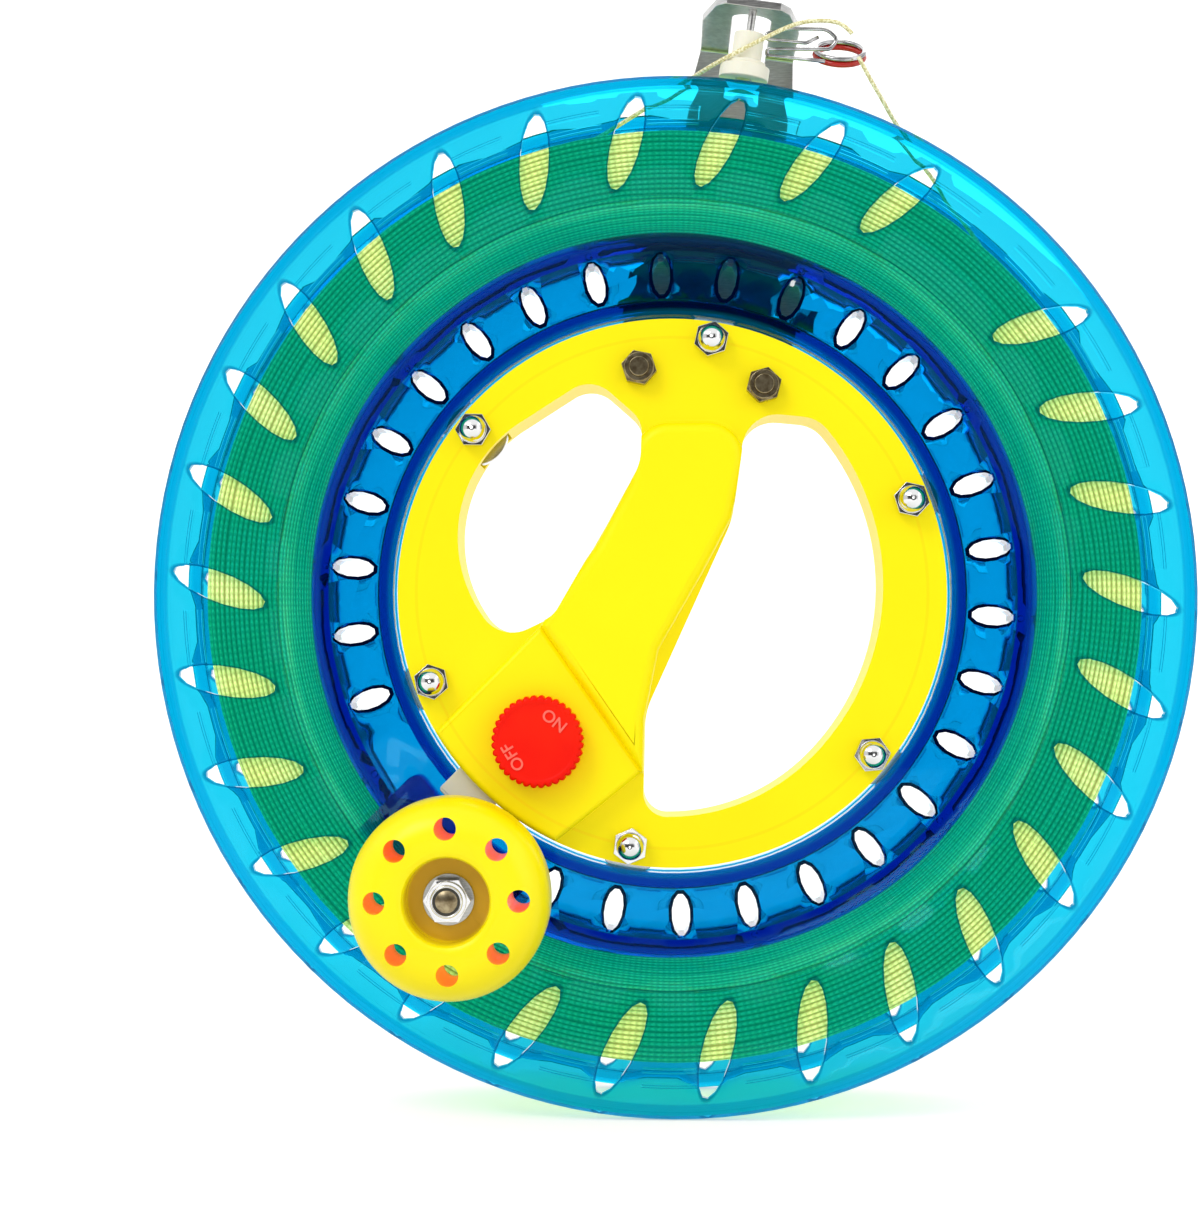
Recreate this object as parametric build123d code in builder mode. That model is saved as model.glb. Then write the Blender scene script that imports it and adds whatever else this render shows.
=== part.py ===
from build123d import *
from math import atan2, cos, pi, radians, sin, sqrt, tan
import os

# Kite line winder: a clear two-part wheel turns on six ball bearings round a
# hand-held hub of two plates. Millimetres. The wheel's axis is Y, the front
# faces -Y, +Z is up, and the origin is the middle of the grip on that axis.
# A "depth" is measured from the middle plane: positive is towards the front.

# ---- sizes -----------------------------------------------------------------
rim_radius = 130.0            # wheel, outside
rim_depth = 25.0              # middle plane to the front of the rim
rim_lip = 3.4                 # radial width of the rim's bead
ridge_radius = 99.7           # where the drum's cone meets the flange
ridge_depth = 21.5
flange_rise = 1.9             # how far the flange leans out up to the rim
flange_wall = 2.0
cone_foot_radius = 91.7       # front edge of the cone on the web
web_depth = 7.0               # outer face of the web
web_wall = 2.0
ring_inner_radius = 88.5      # inside of the joint ring under the line
ring_outer_radius = 92.6      # where the line starts in the middle
track_radius = 73.05          # the surface that runs on the bearings
track_wall = 2.5
track_half_width = 2.75
lip_radius = 71.5             # lips beside the bearings

slot_count = 30
slot_turn = -0.5              # angle of the first slot, degrees
slot_circle = rim_radius - 16.2   # radius of the slots' centres
slot_length = 24.6
slot_width = 7.4
slot_slant = -20.5            # from the radial, clockwise seen from the front
bare_slot = 50                # one place between slots stays plain, degrees

hole_turn = -4.5
hole_circle = 82.0
hole_length = 12.6
hole_width = 6.5
collar_wall = 0.9
hole_sides = 12
slot_sides = 16
pin_circle = 90.0
pin_radius = 0.8
pin_length = 2.6
pin_clearance = 0.1
pin_count = 10

pad_turn = 225.4              # direction of the crank pad's sides
pad_left = -14.0              # its sides, off the radial line
pad_right = 26.0
pad_corner = 2.5
crank_radius = 92.7
crank_turn = 234.2

bolt_m5 = 5.0
hole_m5 = 5.2
bolt_m6 = 6.0
key_m5 = 8.0                  # across flats
key_m6 = 10.0
running = 0.05                # radial clearance of running fits
body_gap = 0.3                # between bodies that don't fit each other

knob_radius = 24.6
knob_depth = 24.0             # back of the crank knob
knob_height = 23.4
knob_recess_radius = 10.4
knob_recess_floor = 38.0
knob_hole_count = 8
knob_hole_circle = 17.4
knob_hole_radius = 2.7
knob_round_front = 9.5
knob_round_back = 5.5
sleeve_radius = 4.5
sleeve_flange_radius = 7.0
crank_washer_radius = 6.25
crank_washer_thick = 1.2
crank_nut_height = 6.0
stud_head_height = 4.0
stud_head_depth = 15.6

plate_radius = 69.8
plate_back = 7.5              # inner face of a hub plate
plate_front = 11.5            # outer face
skirt_wall = 1.8
opening_round = 9.0
grip_depth = 20.0
grip_wall = 2.6
grip_round = 3.0
housing_depth = 17.0
housing_cavity = 13.4
housing_round = 1.6

bearing_count = 6
bearing_turn = 80.65
bearing_circle = 65.0
bearing_radius = 8.0
bearing_width = 5.0
bearing_race = 1.7
inner_race = 1.7
bearing_clearance = 0.6
boss_radius = 3.9

block_turn = 225.0
block_width = 13.0
block_inner = 44.0
block_outer = 77.2
pad_inner_radius = block_outer + 1.1
block_depth = 7.6             # its rubbing face, released
block_thick = 4.8
brake_travel = 0.5
brake_knob_radius = 11.6
brake_knob_height = 6.0
brake_knob_place = (50.4, 3.0)   # along the block, and beside its middle
scallop_count = 36
scallop_depth = 0.45
stud_radius = 4.0
insert_radius = 6.0

bracket_turn = 81.7
bracket_depth = -26.4         # face of the strip towards the wheel
bracket_thick = 2.0
bracket_start = 51.0
bracket_wide = 23.5           # half widths up the strip
bracket_wide_end = 93.0
bracket_narrow = 13.6
bracket_narrow_start = rim_radius - 8.0
bracket_neck = 12.8
tongue_front = 24.0
tongue_taper_start = 4.0
tongue_tip = 8.0
bend_radius = 3.0
guide_slot = 10.0
guide_slot_front = 15.8
roller_depth = 20.3
roller_low = rim_radius + 1.0
tongue_radius = roller_low + 18.0   # underside of the tongue
guide_slot_low = roller_low + 6.0
roller_flange_radius = 6.3
roller_flange_height = 4.6
roller_barrel_radius = 3.85
roller_height = 12.0
roller_pin_radius = 1.0
roller_pin_head = 1.8
bracket_bolt_circle = 57.5
bracket_bolt_half = 16.2
post_radius = 6.0

pack_radius = rim_radius - 13.0   # outside of the wound line
line_diameter = 1.1
turn_count = 24
turn_end_gap = 0.9
snap_wire = 1.0
ring_wire = 1.3
red_wire = 1.6
ring_radius = 6.2

os.makedirs("parts", exist_ok=True)


# ---- helpers ---------------------------------------------------------------
def polar(radius, turn):
    return (radius * cos(radians(turn)), radius * sin(radians(turn)))


def facing(depth):
    """Sketch plane square to the wheel's axis, seen from the front."""
    return Plane.XZ.offset(depth)


def along(turn, s, t):
    """A point s out along a direction and t to its right, seen from the front."""
    a = radians(turn)
    return (s * cos(a) - t * sin(a), s * sin(a) + t * cos(a))


def spots(circle, turns, spin=0.0):
    places = []
    for turn in turns:
        x, z = polar(circle, turn)
        places.append(Location((x, z, 0), (0, 0, turn + spin)))
    return places


def oval(length, width, sides):
    """Corners of a many-sided ellipse, long way along X."""
    corners = []
    for i in range(sides):
        a = 2 * pi * (i + 0.5) / sides
        corners.append((length / 2 * cos(a), width / 2 * sin(a)))
    return corners


slot_turns = []
for i in range(slot_count):
    turn = slot_turn + i * 360.0 / slot_count
    if abs((turn - bare_slot + 180) % 360 - 180) > 180.0 / slot_count:
        slot_turns.append(turn)

pad_middle = (pad_left + pad_right) / 2
hole_turns = []
for i in range(slot_count):
    turn = hole_turn + i * 360.0 / slot_count
    x, z = polar(hole_circle, turn)
    a = radians(pad_turn)
    beside = -x * sin(a) + z * cos(a)
    ahead = x * cos(a) + z * sin(a)
    if ahead < 0 or not pad_left - hole_width < beside < pad_right + hole_width / 2:
        hole_turns.append(turn)
pin_turns = [hole_turn + i * 360.0 / pin_count for i in range(pin_count)]
bearing_turns = [bearing_turn + i * 360.0 / bearing_count for i in range(bearing_count)]
hole_bore_length = hole_length - 2 * collar_wall
hole_bore_width = hole_width - 2 * collar_wall
crank_x, crank_z = polar(crank_radius, crank_turn)
crank_axis = Axis((crank_x, 0, crank_z), (0, -1, 0))

# ---- wheel halves ----------------------------------------------------------
flange_inner_foot = ring_outer_radius + (ridge_radius - cone_foot_radius)
rim_inner_depth = ridge_depth + flange_rise - flange_wall
half_outline = [
    (track_radius, 0),
    (track_radius, track_half_width),
    (lip_radius, track_half_width),
    (lip_radius, web_depth),
    (cone_foot_radius, web_depth),
    (ridge_radius, ridge_depth),
    (rim_radius - rim_lip, ridge_depth + flange_rise),
    (rim_radius - rim_lip, rim_depth - 0.5),
    (rim_radius - rim_lip + 0.9, rim_depth),
    (rim_radius - 0.9, rim_depth),
    (rim_radius, rim_depth - 0.9),
    (rim_radius, rim_inner_depth),
    (flange_inner_foot, ridge_depth - flange_wall),
    (ring_outer_radius, web_depth - web_wall),
    (ring_outer_radius, 0),
    (ring_inner_radius, 0),
    (ring_inner_radius, web_depth - web_wall),
    (track_radius + track_wall, web_depth - web_wall),
    (track_radius + track_wall, 0),
]

# The crank pad fills the corner between web and cone, so its section is
# turned round the axis and then cut to its plan.
with BuildPart() as crank_pad:
    with BuildSketch(Plane.XY):
        with BuildLine():
            Polyline(
                (pad_inner_radius, -(web_depth - web_wall / 2)),
                (pad_inner_radius, -ridge_depth),
                (ridge_radius + 0.5, -ridge_depth),
                (cone_foot_radius + 0.5, -(web_depth - web_wall / 2)),
                close=True,
            )
        make_face()
    revolve(axis=Axis.Y)
    with BuildSketch(facing(0)):
        plan_x, plan_z = along(pad_turn, ridge_radius - 10, pad_middle)
        with Locations(Location((plan_x, plan_z, 0), (0, 0, pad_turn))):
            Rectangle(50, pad_right - pad_left)
    extrude(amount=rim_depth, mode=Mode.INTERSECT)
    inner_corners = crank_pad.edges().filter_by(Axis.Y).sort_by(SortBy.LENGTH)[-2:]
    fillet(inner_corners, radius=pad_corner)

with BuildPart() as wheel_front_half:
    with BuildSketch(Plane.XY):
        with BuildLine():
            Polyline(*[(r, -d) for r, d in half_outline], close=True)
        make_face()
    revolve(axis=Axis.Y)
    with BuildSketch(facing(-(web_depth - web_wall))):
        with Locations(*spots(hole_circle, hole_turns)):
            Polygon(*oval(hole_length, hole_width, hole_sides), align=None)
    extrude(amount=2 * (web_depth - web_wall))
    with BuildSketch(facing(-web_depth)):
        with Locations(*spots(hole_circle, hole_turns)):
            Polygon(*oval(hole_bore_length, hole_bore_width, hole_sides), align=None)
    extrude(amount=2 * web_depth, mode=Mode.SUBTRACT)
    add(crank_pad.part)
    with BuildSketch(facing(ridge_depth - 2 * flange_wall)):
        with Locations(*spots(slot_circle, slot_turns, slot_slant)):
            Polygon(*oval(slot_length, slot_width, slot_sides), align=None)
    extrude(amount=rim_depth, mode=Mode.SUBTRACT)
    with BuildSketch(facing(0)):
        with Locations(*spots(pin_circle, pin_turns)):
            RegularPolygon(pin_radius + pin_clearance, 8)
    extrude(amount=pin_length + 0.3, mode=Mode.SUBTRACT)
    with BuildSketch(facing(stud_head_depth)):
        with Locations((crank_x, crank_z)):
            RegularPolygon(key_m6 / 2, 6, major_radius=False, rotation=crank_turn)
    extrude(amount=stud_head_height, mode=Mode.SUBTRACT)
    with BuildSketch(facing(stud_head_depth)):
        with Locations((crank_x, crank_z)):
            Circle(bolt_m6 / 2)
    extrude(amount=rim_depth, mode=Mode.SUBTRACT)
wheel_front_half.part.label = "wheel_front_half"

with BuildPart() as wheel_rear_half:
    with BuildSketch(Plane.XY):
        with BuildLine():
            Polyline(*half_outline, close=True)
        make_face()
    revolve(axis=Axis.Y)
    with BuildSketch(facing(-web_depth - 1)):
        with Locations(*spots(hole_circle, hole_turns)):
            Polygon(*oval(hole_bore_length, hole_bore_width, hole_sides), align=None)
    extrude(amount=web_depth, mode=Mode.SUBTRACT)
    with BuildSketch(facing(-(ridge_depth - 2 * flange_wall))):
        with Locations(*spots(slot_circle, slot_turns, slot_slant)):
            Polygon(*oval(slot_length, slot_width, slot_sides), align=None)
    extrude(amount=-rim_depth, mode=Mode.SUBTRACT)
    with BuildSketch(facing(0)):
        with Locations(*spots(pin_circle, pin_turns)):
            RegularPolygon(pin_radius, 8)
    extrude(amount=pin_length)
wheel_rear_half.part.label = "wheel_rear_half"

# ---- wound line ------------------------------------------------------------
core_radius = pack_radius - line_diameter
core_foot = 0.15              # the pack lies this far off the drum walls
slope = (rim_inner_depth - ridge_depth + flange_wall) / (rim_radius - flange_inner_foot)
core_depth = ridge_depth - flange_wall + slope * (core_radius - flange_inner_foot)
with BuildPart() as line_core:
    with BuildSketch(Plane.XY):
        with BuildLine():
            Polyline(
                (ring_outer_radius + core_foot, web_depth - web_wall),
                (flange_inner_foot + core_foot, ridge_depth - flange_wall - core_foot),
                (core_radius, core_depth - 2 * core_foot),
                (core_radius, -core_depth + 2 * core_foot),
                (flange_inner_foot + core_foot, -ridge_depth + flange_wall + core_foot),
                (ring_outer_radius + core_foot, -web_depth + web_wall),
                close=True,
            )
        make_face()
    revolve(axis=Axis.Y)
line_core.part.label = "line_core"

winding_radius = core_radius + line_diameter / 2
winding_half = core_depth - turn_end_gap - line_diameter / 2
winding_pitch = 2 * winding_half / turn_count


def winding_point(turn):
    a = 2 * pi * turn
    y = -winding_half + winding_pitch * turn
    return Vector(winding_radius * cos(a), y, winding_radius * sin(a))


def winding_way(turn):
    a = 2 * pi * turn
    run = winding_pitch / (2 * pi)
    return Vector(-winding_radius * sin(a), run, winding_radius * cos(a)).normalized()


def biarc_middle(p, u, q, v):
    """The point where two equal-reach arcs from p along u and into q along v meet."""
    w = q - p
    both = u + v
    k = 2 * (1 - u.dot(v))
    reach = (-w.dot(both) + sqrt(w.dot(both) ** 2 + k * w.dot(w))) / k
    return (p + u * reach + q - v * reach) * 0.5, (q - v * reach - p - u * reach).normalized()


with BuildPart() as line_winding:
    with BuildLine() as winding_path:
        for half_turn in range(2 * turn_count):
            start = winding_point(half_turn / 2)
            way = winding_way(half_turn / 2)
            end = winding_point((half_turn + 1) / 2)
            end_way = winding_way((half_turn + 1) / 2)
            middle, middle_way = biarc_middle(start, way, end, end_way)
            TangentArc(start, middle, tangent=way)
            TangentArc(middle, end, tangent=middle_way)
    with BuildSketch(Plane(origin=winding_point(0), z_dir=winding_way(0))):
        RegularPolygon(line_diameter / 2, 5)
    sweep(path=winding_path.wires()[0])
line_winding.part.label = "line_winding"

least = winding_pitch * cos(atan2(winding_pitch, 2 * pi * winding_radius)) - line_diameter
print("winding: turns", turn_count, "pitch %.2f mm, least gap to itself %.2f mm" % (winding_pitch, least))

# ---- hub plates ------------------------------------------------------------
thumb_corners = [(-42.5, -12.4), (-37.6, 43.8), (-20.0, 55.0), (-7.2, 43.6), (-7.6, 32.0), (-29.6, -6.2)]
thumb_left = (-54.2, 10.0)
thumb_rounds = [9.0, 12.0, 8.0, 7.0, 12.0, 7.0]
finger_corners = [(-7.4, -56.6), (-6.8, -31.0), (15.6, 18.0), (19.6, 45.8), (37.4, 44.0), (33.4, -43.8)]
finger_right = (53.7, 3.0)
finger_low = (17.4, -53.6)
finger_rounds = [6.0, 20.0, 20.0, 9.0, 9.0, 20.0]
grip_outline = [
    (-33.0, -8.8), (-18.6, 12.1), (-10.4, 27.3), (-8.2, 42.5), (19.4, 42.5), (18.4, 32.0),
    (15.3, 18.2), (7.8, 4.2), (-3.2, -14.8), (-6.8, -32.0), (-7.2, -46.0),
]
housing_outline = [(-65.0, -40.7), (-33.0, -8.8), (-7.2, -45.2), (-31.0, -64.3), (-50.0, -60.0)]
knob_x, knob_z = along(block_turn, *brake_knob_place)
post_turns = [bracket_turn - bracket_bolt_half, bracket_turn + bracket_bolt_half]

with BuildSketch() as thumb_opening:
    with BuildLine():
        ThreePointArc(thumb_corners[0], thumb_left, thumb_corners[1])
        Polyline(*thumb_corners[1:], thumb_corners[0])
    make_face()
    for corner, round_radius in zip(thumb_corners, thumb_rounds):
        fillet(thumb_opening.vertices().sort_by_distance(corner)[0], radius=round_radius)
with BuildSketch() as finger_opening:
    with BuildLine():
        Polyline(*finger_corners[:5])
        ThreePointArc(finger_corners[4], finger_right, finger_corners[5])
        ThreePointArc(finger_corners[5], finger_low, finger_corners[0])
    make_face()
    for corner, round_radius in zip(finger_corners, finger_rounds):
        fillet(finger_opening.vertices().sort_by_distance(corner)[0], radius=round_radius)
with BuildSketch() as skirts:
    add(thumb_opening.sketch)
    add(finger_opening.sketch)
    offset(amount=skirt_wall, kind=Kind.ARC)
    add(thumb_opening.sketch, mode=Mode.SUBTRACT)
    add(finger_opening.sketch, mode=Mode.SUBTRACT)
with BuildSketch() as grip_plan:
    with BuildLine():
        Polyline(*grip_outline, close=True)
    make_face()
    fillet(grip_plan.vertices().group_by(Axis.Y)[-1], radius=opening_round)
with BuildSketch() as grip_hollow:
    with BuildLine():
        Polyline(*grip_outline, close=True)
    make_face()
    offset(amount=-grip_wall, kind=Kind.INTERSECTION)
with BuildSketch() as housing_plan:
    with BuildLine():
        Polyline(*housing_outline, close=True)
    make_face()
    Circle(plate_radius - 0.4, mode=Mode.INTERSECT)
with BuildSketch() as bearing_plan:
    with Locations(*spots(bearing_circle, bearing_turns)):
        Circle(bearing_radius + bearing_clearance)
with BuildSketch() as boss_plan:
    with Locations(*spots(bearing_circle, bearing_turns)):
        Circle(boss_radius)
with BuildSketch() as bolt_plan:
    with Locations(*spots(bearing_circle, bearing_turns)):
        Circle(hole_m5 / 2)
    with Locations(*spots(bracket_bolt_circle, post_turns)):
        Circle(hole_m5 / 2)


def facing_sketch(sketch, depth):
    return facing(depth).location * sketch.sketch


with BuildPart() as front_hub_plate:
    with BuildSketch(facing(plate_back)):
        Circle(plate_radius)
    extrude(amount=plate_front - plate_back)
    extrude(facing_sketch(grip_plan, 0), amount=grip_depth, mode=Mode.ADD)
    fillet(front_hub_plate.faces().sort_by(Axis.Y)[0].edges(), radius=grip_round)
    with BuildPart(mode=Mode.PRIVATE) as housing:
        extrude(facing_sketch(housing_plan, plate_back), amount=housing_depth - plate_back)
        fillet(housing.faces().sort_by(Axis.Y)[0].edges(), radius=housing_round)
    add(housing.part)
    extrude(facing_sketch(skirts, 0), amount=plate_back + 1)
    extrude(facing_sketch(bearing_plan, -1), amount=plate_back + 1, mode=Mode.SUBTRACT)
    extrude(facing_sketch(boss_plan, bearing_width / 2), amount=plate_back - bearing_width / 2 + 1)
    extrude(facing_sketch(thumb_opening, -1), amount=rim_depth, mode=Mode.SUBTRACT)
    extrude(facing_sketch(finger_opening, -1), amount=rim_depth, mode=Mode.SUBTRACT)
    extrude(facing_sketch(grip_hollow, -1), amount=grip_depth - grip_wall + 1, mode=Mode.SUBTRACT)
    extrude(facing_sketch(bolt_plan, 0), amount=rim_depth, mode=Mode.SUBTRACT)
    with BuildSketch(facing(0)):
        bx, bz = along(block_turn, (block_inner + rim_radius) / 2 - body_gap, 0)
        with Locations(Location((bx, bz, 0), (0, 0, block_turn))):
            Rectangle(rim_radius - block_inner, block_width + 2 * body_gap)
    extrude(amount=housing_cavity, mode=Mode.SUBTRACT)
    with BuildSketch(facing(plate_back)):
        with Locations((knob_x, knob_z)):
            Circle(insert_radius)
    extrude(amount=rim_depth, mode=Mode.SUBTRACT)
front_hub_plate.part.label = "front_hub_plate"

with BuildPart() as rear_hub_plate:
    with BuildSketch(facing(-plate_back)):
        Circle(plate_radius)
    extrude(amount=-(plate_front - plate_back))
    extrude(facing_sketch(grip_plan, 0), amount=-grip_depth)
    fillet(rear_hub_plate.faces().sort_by(Axis.Y)[-1].edges(), radius=grip_round)
    with BuildSketch(facing(-plate_front)):
        with Locations(*spots(bracket_bolt_circle, post_turns)):
            Circle(post_radius)
        px, pz = polar(bracket_bolt_circle * cos(radians(bracket_bolt_half)), bracket_turn)
        with Locations(Location((px, pz, 0), (0, 0, bracket_turn))):
            Rectangle(3, 2 * bracket_bolt_circle * sin(radians(bracket_bolt_half)))
    extrude(amount=plate_front + bracket_depth)
    extrude(facing_sketch(skirts, 0), amount=-(plate_back + 1))
    extrude(facing_sketch(bearing_plan, 1), amount=-(plate_back + 1), mode=Mode.SUBTRACT)
    extrude(facing_sketch(boss_plan, -bearing_width / 2), amount=-(plate_back - bearing_width / 2 + 1))
    extrude(facing_sketch(thumb_opening, 1), amount=-rim_depth, mode=Mode.SUBTRACT)
    extrude(facing_sketch(finger_opening, 1), amount=-rim_depth, mode=Mode.SUBTRACT)
    extrude(facing_sketch(grip_hollow, 1), amount=-(grip_depth - grip_wall + 1), mode=Mode.SUBTRACT)
    extrude(facing_sketch(bolt_plan, 1), amount=-2 * rim_depth, mode=Mode.SUBTRACT)
rear_hub_plate.part.label = "rear_hub_plate"

# ---- bearings and their bolts ---------------------------------------------
race_outer_bore = bearing_radius - bearing_race
race_inner_radius = bolt_m5 / 2 + inner_race
bearings = []
for number, turn in enumerate(bearing_turns, start=1):
    bearing_x, bearing_z = polar(bearing_circle, turn)
    with BuildPart() as bearing:
        with BuildSketch(facing(-bearing_width / 2)):
            with Locations((bearing_x, bearing_z)):
                Circle(bearing_radius)
                Circle(race_inner_radius + running, mode=Mode.SUBTRACT)
        extrude(amount=bearing_width)
        with BuildSketch(facing(-bearing_width / 2 + 0.6)):
            with Locations((bearing_x, bearing_z)):
                Circle(race_outer_bore)
                Circle(race_inner_radius + running, mode=Mode.SUBTRACT)
        extrude(amount=bearing_width - 1.2, mode=Mode.SUBTRACT)
    bearing.part.label = "bearing_%d" % number
    bearings.append(bearing)

with BuildPart() as bearing_inner_races:
    with BuildSketch(facing(-bearing_width / 2)):
        with Locations(*spots(bearing_circle, bearing_turns)):
            Circle(race_inner_radius)
            Circle(bolt_m5 / 2, mode=Mode.SUBTRACT)
    extrude(amount=bearing_width)
bearing_inner_races.part.label = "bearing_inner_races"

acorn_hex = 4.0
acorn_height = 8.6
acorn_dome = 3.4
acorn_bore = 6.6
head_m5 = 3.5
with BuildPart() as hub_bolts:
    with BuildSketch(facing(-plate_front)):
        with Locations(*spots(bearing_circle, bearing_turns)):
            RegularPolygon(key_m5 / 2, 6, major_radius=False)
    extrude(amount=-head_m5)
    with BuildSketch(facing(-plate_front)):
        with Locations(*spots(bearing_circle, bearing_turns)):
            Circle(bolt_m5 / 2)
    extrude(amount=2 * plate_front + acorn_bore - 0.6)
hub_bolts.part.label = "hub_bolts"

with BuildPart() as acorn_nuts:
    for turn in bearing_turns:
        nut_x, nut_z = polar(bearing_circle, turn)
        with BuildSketch(facing(plate_front)):
            with Locations(Location((nut_x, nut_z, 0), (0, 0, turn * 1.7))):
                RegularPolygon(key_m5 / 2, 6, major_radius=False)
        extrude(amount=acorn_hex)
        with BuildSketch(Plane((nut_x, 0, nut_z), x_dir=(1, 0, 0), z_dir=(0, 0, 1))):
            with BuildLine():
                Polyline(
                    (0, -plate_front),
                    (acorn_dome, -plate_front),
                    (acorn_dome, -(plate_front + acorn_height - acorn_dome)),
                )
                RadiusArc(
                    (acorn_dome, -(plate_front + acorn_height - acorn_dome)),
                    (0, -(plate_front + acorn_height)),
                    acorn_dome,
                )
                Line((0, -(plate_front + acorn_height)), (0, -plate_front))
            make_face()
        revolve(axis=Axis((nut_x, 0, nut_z), (0, -1, 0)))
    with BuildSketch(facing(plate_front)):
        with Locations(*spots(bearing_circle, bearing_turns)):
            Circle(bolt_m5 / 2)
    extrude(amount=acorn_bore, mode=Mode.SUBTRACT)
acorn_nuts.part.label = "acorn_nuts"

# ---- crank -----------------------------------------------------------------
stud_end = knob_recess_floor + body_gap + crank_washer_thick + crank_nut_height + 0.5
with BuildPart() as crank_stud:
    with BuildSketch(facing(stud_head_depth)):
        with Locations((crank_x, crank_z)):
            RegularPolygon(key_m6 / 2, 6, major_radius=False, rotation=crank_turn)
    extrude(amount=stud_head_height)
    with BuildSketch(facing(stud_head_depth)):
        with Locations((crank_x, crank_z)):
            Circle(bolt_m6 / 2)
    extrude(amount=stud_end - stud_head_depth)
    chamfer(crank_stud.faces().sort_by(Axis.Y)[0].edges(), length=0.5)
crank_stud.part.label = "crank_stud"

sleeve_end = knob_recess_floor + body_gap
with BuildPart() as crank_sleeve:
    with BuildSketch(facing(ridge_depth)):
        with Locations((crank_x, crank_z)):
            Circle(sleeve_flange_radius)
    extrude(amount=knob_depth - body_gap - ridge_depth)
    with BuildSketch(facing(ridge_depth)):
        with Locations((crank_x, crank_z)):
            Circle(sleeve_radius)
    extrude(amount=sleeve_end - ridge_depth)
    with BuildSketch(facing(ridge_depth)):
        with Locations((crank_x, crank_z)):
            Circle(bolt_m6 / 2)
    extrude(amount=sleeve_end, mode=Mode.SUBTRACT)
crank_sleeve.part.label = "crank_sleeve"

with BuildPart() as crank_washer:
    with BuildSketch(facing(sleeve_end)):
        with Locations((crank_x, crank_z)):
            Circle(crank_washer_radius)
            Circle(bolt_m6 / 2, mode=Mode.SUBTRACT)
    extrude(amount=crank_washer_thick)
crank_washer.part.label = "crank_washer"

nut_start = sleeve_end + crank_washer_thick
nylon_band = 1.4
with BuildPart() as crank_lock_nut:
    with BuildSketch(facing(nut_start)):
        with Locations((crank_x, crank_z)):
            RegularPolygon(key_m6 / 2, 6, major_radius=False)
    extrude(amount=crank_nut_height - nylon_band)
    with BuildSketch(facing(nut_start)):
        with Locations((crank_x, crank_z)):
            Circle(key_m6 / 2 - 0.3)
    extrude(amount=crank_nut_height)
    with BuildSketch(facing(nut_start)):
        with Locations((crank_x, crank_z)):
            Circle(bolt_m6 / 2)
    extrude(amount=crank_nut_height, mode=Mode.SUBTRACT)
crank_lock_nut.part.label = "crank_lock_nut"

knob_front = knob_depth + knob_height
with BuildPart() as crank_knob:
    with BuildSketch(Plane((crank_x, 0, crank_z), x_dir=(1, 0, 0), z_dir=(0, 0, 1))):
        with BuildLine():
            back_arc = knob_radius - knob_round_back
            front_arc = knob_radius - knob_round_front
            Polyline(
                (sleeve_radius + running, -knob_recess_floor),
                (sleeve_radius + running, -knob_depth),
                (back_arc, -knob_depth),
            )
            RadiusArc(
                (back_arc, -knob_depth),
                (knob_radius, -(knob_depth + knob_round_back)),
                knob_round_back,
            )
            Line(
                (knob_radius, -(knob_depth + knob_round_back)),
                (knob_radius, -(knob_front - knob_round_front)),
            )
            RadiusArc(
                (knob_radius, -(knob_front - knob_round_front)),
                (front_arc, -knob_front),
                knob_round_front,
            )
            Polyline(
                (front_arc, -knob_front),
                (knob_recess_radius + 1.6, -knob_front),
                (knob_recess_radius + 0.5, -(knob_front - 0.5)),
                (knob_recess_radius, -(knob_front - 1.6)),
                (knob_recess_radius, -knob_recess_floor),
                (sleeve_radius + running, -knob_recess_floor),
            )
        make_face()
    revolve(axis=crank_axis)
    with BuildSketch(facing(knob_depth - 1)):
        with Locations((crank_x, crank_z)):
            with PolarLocations(knob_hole_circle, knob_hole_count, start_angle=1):
                Circle(knob_hole_radius)
    extrude(amount=knob_height + 2, mode=Mode.SUBTRACT)
crank_knob.part.label = "crank_knob"

# ---- friction brake --------------------------------------------------------
block_top = block_depth + block_thick
pivot_radius = 2.0
pivot_height = 3.0
with BuildPart() as brake_block:
    with BuildSketch(facing(block_depth)):
        mid_x, mid_z = along(block_turn, (block_inner + block_outer) / 2, 0)
        with Locations(Location((mid_x, mid_z, 0), (0, 0, block_turn))):
            RectangleRounded(block_outer - block_inner, block_width, 1.0)
    extrude(amount=block_thick)
    with BuildSketch(facing(block_top)):
        with Locations((knob_x, knob_z)):
            Circle(pivot_radius)
    extrude(amount=pivot_height)
brake_block.part.label = "brake_block"

with BuildPart() as brake_insert:
    with BuildSketch(facing(housing_cavity)):
        with Locations((knob_x, knob_z)):
            Circle(insert_radius)
            Circle(stud_radius + running, mode=Mode.SUBTRACT)
    extrude(amount=housing_depth - housing_cavity)
brake_insert.part.label = "brake_insert"

brake_knob_back = housing_depth + brake_travel + body_gap
with BuildPart() as brake_screw:
    with BuildSketch(facing(block_top + body_gap)):
        with Locations((knob_x, knob_z)):
            Circle(stud_radius)
    extrude(amount=brake_knob_back - block_top - body_gap)
    with BuildSketch(facing(block_top)):
        with Locations((knob_x, knob_z)):
            Circle(pivot_radius + running)
    extrude(amount=pivot_height + body_gap, mode=Mode.SUBTRACT)
brake_screw.part.label = "brake_screw"

with BuildPart() as brake_knob:
    with BuildSketch(facing(brake_knob_back)):
        with Locations((knob_x, knob_z)):
            Circle(brake_knob_radius)
            with PolarLocations(brake_knob_radius + 1.2 - scallop_depth, scallop_count):
                Circle(1.2, mode=Mode.SUBTRACT)
    extrude(amount=brake_knob_height)
brake_knob.part.label = "brake_knob"

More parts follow.
